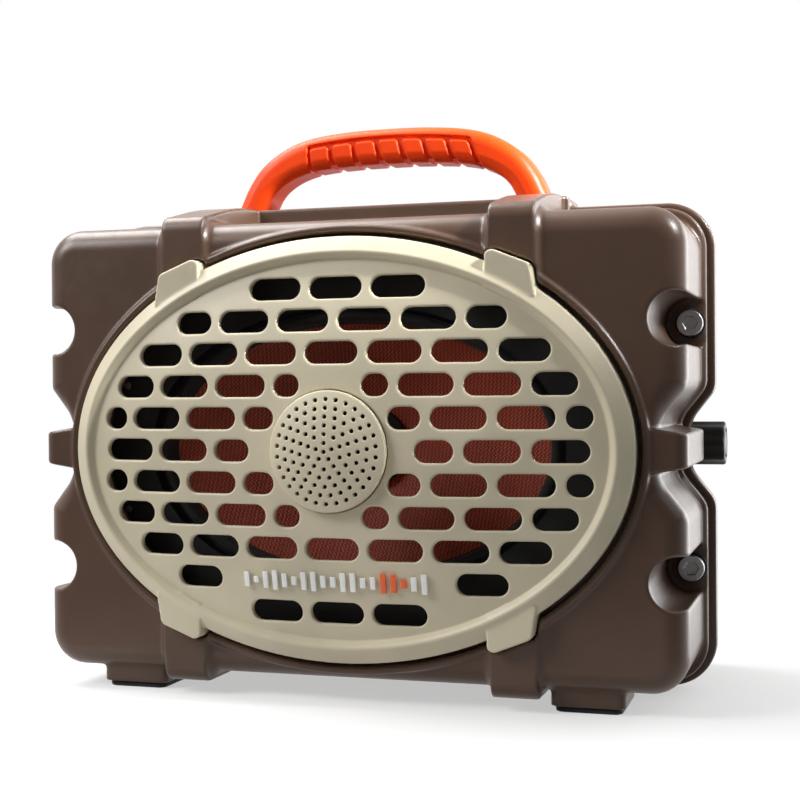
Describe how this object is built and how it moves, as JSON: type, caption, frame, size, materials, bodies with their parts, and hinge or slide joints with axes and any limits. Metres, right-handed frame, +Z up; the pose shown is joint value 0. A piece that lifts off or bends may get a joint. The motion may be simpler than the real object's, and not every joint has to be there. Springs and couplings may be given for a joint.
{
  "type": "portable outdoor speaker",
  "caption": "Rugged portable speaker with an oval slotted grille, a top carry handle, a scooped brown two part case, rear buttons and a screw capped side port.",
  "frame": {"origin": "centre of the case's footprint, on the plane the four rubber feet stand on", "axes": "+Z up, -Y towards the listener (the grille faces -Y), +X to the right of the grille as seen from the front, where the screw capped port is"},
  "size_m": [0.3875, 0.2046, 0.329],
  "materials": {
    "case_plastic": "satin moulded, fine grain",
    "grille_plastic": "satin moulded",
    "badge_white": "printed raised bars",
    "badge_orange": "printed raised bars",
    "handle_orange": "satin moulded",
    "black_plastic": "fine grain",
    "black_rubber": "matte",
    "seal_rubber": "silicone",
    "cone_weave": "woven fibre",
    "spider_cloth": "resin dipped cloth",
    "steel": "machined",
    "brass": "knurled",
    "copper": "wound wire",
    "ferrite": "sintered",
    "basket_metal": "black powder coat",
    "aluminium": "extruded",
    "board_green": "circuit board",
    "cell_wrap": "shrink wrap",
    "capacitor_sleeve": "shrink sleeve",
    "light_pipe": "clear",
    "button_orange": "silicone key"
  },
  "bodies": {
    "case": {"front_shell": "case_plastic", "rear_shell": "case_plastic", "shell_gasket": "black_rubber", "grille": "grille_plastic", "grille_screws": "steel", "tweeter_cover": "grille_plastic", "grille_badge": "badge_white", "badge_accent": "badge_orange", "baffle": "black_plastic", "baffle_screws": "steel", "woofer_basket": "basket_metal", "woofer_surround": "black_rubber", "woofer_spider": "spider_cloth", "woofer_top_plate": "steel", "woofer_magnet": "ferrite", "woofer_back_plate": "steel", "tweeter_housing": "black_plastic", "tweeter_dome": "black_plastic", "tweeter_magnet": "ferrite", "handle": "handle_orange", "handle_bolts": "steel", "handle_plates": "steel", "case_screws": "steel", "case_washers": "black_rubber", "case_inserts": "brass", "foot_front_left": "black_rubber", "foot_front_right": "black_rubber", "foot_rear_left": "black_rubber", "foot_rear_right": "black_rubber", "control_bezel": "black_plastic", "keypad": "black_rubber", "key_board": "board_green", "light_pipes": "light_pipe", "amplifier_board": "board_green", "heat_sink": "aluminium", "capacitors": "capacitor_sleeve", "inductors": "copper", "battery_tray": "black_plastic", "battery_cells": "cell_wrap", "battery_board": "board_green", "battery_cover": "black_plastic", "port_housing": "black_plastic", "port_board": "board_green", "usb_socket": "steel", "aux_socket": "black_plastic", "vent_plug": "black_plastic"},
    "cone": {"woofer_cone": "cone_weave", "dust_cap": "black_plastic", "voice_coil": "copper"},
    "power_button": {"button_power": "button_orange"},
    "pair_button": {"button_pair": "black_rubber"},
    "play_button": {"button_play": "black_rubber"},
    "volume_down_button": {"button_volume_down": "black_rubber"},
    "volume_up_button": {"button_volume_up": "black_rubber"},
    "cap_ring": {"cap_seal": "seal_rubber"},
    "cap": {"port_cap": "black_plastic"}
  },
  "joints": [
    {"name": "cone_stroke", "type": "slide", "parent": "case", "child": "cone", "axis": [0, -1, 0], "range_m": [-0.003, 0.003], "stiffness_N_per_m": 2500},
    {"name": "power_press", "type": "slide", "parent": "case", "child": "power_button", "axis": [0, -1, 0], "range_m": [0, 0.0012], "stiffness_N_per_m": 900},
    {"name": "pair_press", "type": "slide", "parent": "case", "child": "pair_button", "axis": [0, -1, 0], "range_m": [0, 0.0012], "stiffness_N_per_m": 900},
    {"name": "play_press", "type": "slide", "parent": "case", "child": "play_button", "axis": [0, -1, 0], "range_m": [0, 0.0012], "stiffness_N_per_m": 900},
    {"name": "volume_down_press", "type": "slide", "parent": "case", "child": "volume_down_button", "axis": [0, -1, 0], "range_m": [0, 0.0012], "stiffness_N_per_m": 900},
    {"name": "volume_up_press", "type": "slide", "parent": "case", "child": "volume_up_button", "axis": [0, -1, 0], "range_m": [0, 0.0012], "stiffness_N_per_m": 900},
    {"name": "cap_lift", "type": "slide", "parent": "case", "child": "cap_ring", "axis": [1, 0, 0], "range_m": [0, 0.0121]},
    {"name": "cap_turn", "type": "hinge", "parent": "cap_ring", "child": "cap", "pos_m": [0.185, 0.046, 0.139], "axis": [1, 0, 0], "range_deg": [0, 1080]}
  ],
  "couplings": [
    {"joint": "cap_lift", "follows": "cap_turn", "m_per_rad": 0.00063662}
  ]
}
